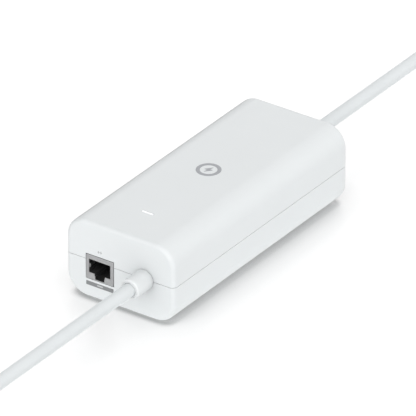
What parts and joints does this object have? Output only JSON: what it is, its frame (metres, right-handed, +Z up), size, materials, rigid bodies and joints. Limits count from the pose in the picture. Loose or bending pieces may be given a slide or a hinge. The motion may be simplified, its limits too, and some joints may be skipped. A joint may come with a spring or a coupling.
{
  "type": "poe injector",
  "caption": "White power-over-Ethernet injector: rounded two-shell housing with a shielded modular jack and a captive lead at the front, and a captive supply lead at the rear.",
  "frame": {"origin": "centre of the footprint, on the plane the rubber feet stand on", "axes": "+Z up; -Y out of the front face with the jack and the front lead; +X to the right seen from the front"},
  "size_m": [0.0628, 0.392, 0.0427],
  "materials": {
    "shell": "satin white moulded plastic, fine texture",
    "relief": "soft satin white moulded strain relief",
    "cable_jacket": "smooth flexible off-white jacket",
    "conductors": "insulated copper conductors, cut square",
    "shield_steel": "satin nickel-plated sheet",
    "jack_plastic": "black moulded plastic",
    "contact_gold": "bright gold plating",
    "print_grey": "matt grey print",
    "mark_grey": "satin grey print",
    "light_pipe": "frosted clear light guide",
    "foot_rubber": "matt light grey rubber",
    "screw_steel": "zinc plated",
    "board": "green solder mask",
    "led": "clear lens",
    "film": "translucent insulating film",
    "tape_yellow": "yellow film capacitor case",
    "varistor_blue": "blue epoxy dip",
    "ferrite": "dark grey ferrite",
    "winding": "enamelled copper wire",
    "heatsink": "mill finish",
    "can_sleeve": "dark shrink sleeve",
    "chip": "black epoxy package",
    "header": "natural nylon",
    "fuse_ceramic": "white ceramic tube"
  },
  "bodies": {
    "housing": {"top_cover": "shell", "bottom_cover": "shell", "foot_1": "foot_rubber", "foot_2": "foot_rubber", "foot_3": "foot_rubber", "foot_4": "foot_rubber", "screw_1": "screw_steel", "screw_2": "screw_steel", "screw_3": "screw_steel", "screw_4": "screw_steel", "jack_shield": "shield_steel", "jack_housing": "jack_plastic", "port_label_bar": "print_grey", "port_icon": "print_grey", "top_mark_ring": "mark_grey", "top_mark_bolt": "mark_grey", "led_light_pipe": "light_pipe", "main_pcb": "board", "status_led": "led", "insulation_sheet": "film", "input_wire_header": "header", "fuse": "fuse_ceramic", "varistor": "varistor_blue", "x_capacitor": "tape_yellow", "emi_choke": "winding", "bridge_rectifier": "chip", "bulk_capacitor_1": "can_sleeve", "bulk_capacitor_2": "can_sleeve", "primary_heatsink": "heatsink", "switch_transistor": "chip", "transformer_core": "ferrite", "transformer_winding": "tape_yellow", "optocoupler": "chip", "secondary_heatsink": "heatsink", "output_inductor": "winding", "output_capacitor": "can_sleeve", "poe_controller_chip": "chip", "ethernet_magnetics": "chip", "output_wire_header": "header", "front_strain_relief": "relief", "front_cable_stub": "cable_jacket", "rear_strain_relief": "relief", "rear_cable_stub": "cable_jacket"},
    "front_lead_base": {"front_cable_base": "cable_jacket"},
    "front_lead_run": {"front_cable_run": "cable_jacket", "front_cable_core": "conductors"},
    "rear_lead_base": {"rear_cable_base": "cable_jacket"},
    "rear_lead_run": {"rear_cable_run": "cable_jacket", "rear_cable_core": "conductors"},
    "jack_springs": {"jack_contact_1": "contact_gold", "jack_contact_2": "contact_gold", "jack_contact_3": "contact_gold", "jack_contact_4": "contact_gold", "jack_contact_5": "contact_gold", "jack_contact_6": "contact_gold", "jack_contact_7": "contact_gold", "jack_contact_8": "contact_gold"},
    "finger_left": {"shield_finger_left": "shield_steel"},
    "finger_right": {"shield_finger_right": "shield_steel"}
  },
  "joints": [
    {"name": "front_lead_sideways", "type": "hinge", "parent": "housing", "child": "front_lead_base", "pos_m": [0.0143, -0.0917, 0.02164], "axis": [0, 0, 1], "range_deg": [-28, 28], "stiffness_Nm_per_rad": 0.4},
    {"name": "front_lead_lift", "type": "hinge", "parent": "front_lead_base", "child": "front_lead_run", "pos_m": [0.0143, -0.1094, 0.02164], "axis": [-1, 0, 0], "range_deg": [-10, 30], "stiffness_Nm_per_rad": 0.4},
    {"name": "rear_lead_sideways", "type": "hinge", "parent": "housing", "child": "rear_lead_base", "pos_m": [0, 0.0917, 0.02164], "axis": [0, 0, 1], "range_deg": [-28, 28], "stiffness_Nm_per_rad": 0.4},
    {"name": "rear_lead_lift", "type": "hinge", "parent": "rear_lead_base", "child": "rear_lead_run", "pos_m": [0, 0.1094, 0.02164], "axis": [1, 0, 0], "range_deg": [-10, 30], "stiffness_Nm_per_rad": 0.4},
    {"name": "jack_spring_lift", "type": "hinge", "parent": "housing", "child": "jack_springs", "pos_m": [-0.01185, -0.0706, 0.02287], "axis": [1, 0, 0], "range_deg": [0, 10]},
    {"name": "finger_left_spread", "type": "hinge", "parent": "housing", "child": "finger_left", "pos_m": [-0.01845, -0.07245, 0.01807], "axis": [0, 0, 1], "range_deg": [0, 8]},
    {"name": "finger_right_spread", "type": "hinge", "parent": "housing", "child": "finger_right", "pos_m": [-0.00525, -0.07245, 0.01807], "axis": [0, 0, -1], "range_deg": [0, 8]}
  ]
}
